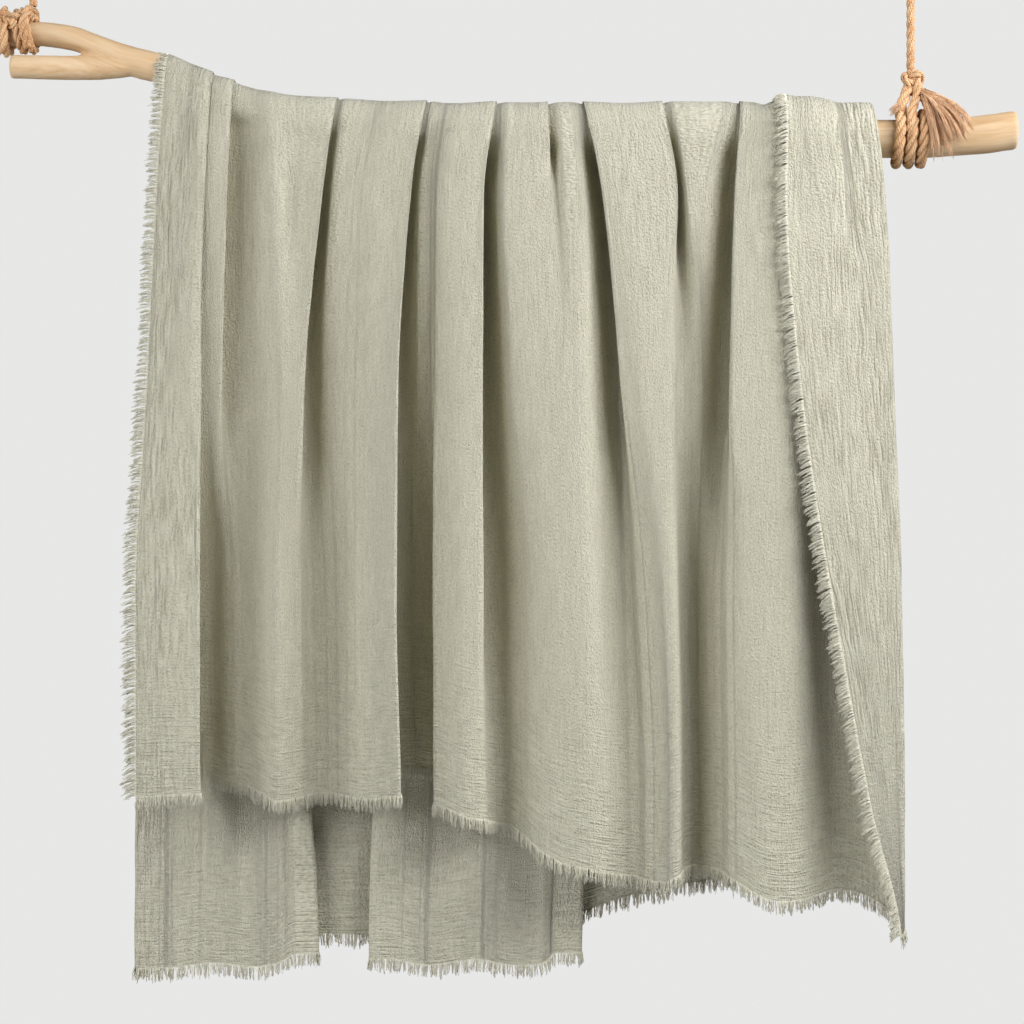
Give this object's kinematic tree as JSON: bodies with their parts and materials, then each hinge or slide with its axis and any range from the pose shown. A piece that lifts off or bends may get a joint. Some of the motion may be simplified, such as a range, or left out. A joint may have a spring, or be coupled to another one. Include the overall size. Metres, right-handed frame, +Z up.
{
  "type": "fringed linen throw blanket draped over a forked branch hung on jute ropes",
  "caption": "Crinkled gauze throw with a short fringe, pleated over a peeled forked branch that hangs level from two jute ropes.",
  "frame": {"origin": "where the right rope's eye bears on the hook that holds it", "axes": "+X to the viewer's right along the branch, -Y towards the viewer, +Z up"},
  "size_m": [1.1824, 0.1218, 1.2122],
  "materials": {
    "linen_gauze": "crinkled sage grey linen gauze",
    "fringe_yarn": "pale loose linen yarn",
    "peeled_wood": "peeled and sanded raw wood",
    "jute": "laid jute rope"
  },
  "bodies": {
    "root": {"blanket": "linen_gauze", "fringe_front": "fringe_yarn", "fringe_back": "fringe_yarn", "fringe_left": "fringe_yarn", "fringe_right": "fringe_yarn", "branch": "peeled_wood", "right_rope_hitch": "jute", "left_rope_hitch": "jute", "right_rope_tassel": "jute", "right_rope_riser": "jute", "left_rope_riser": "jute", "right_rope_eye": "jute", "left_rope_eye": "jute"}
  },
  "joints": []
}
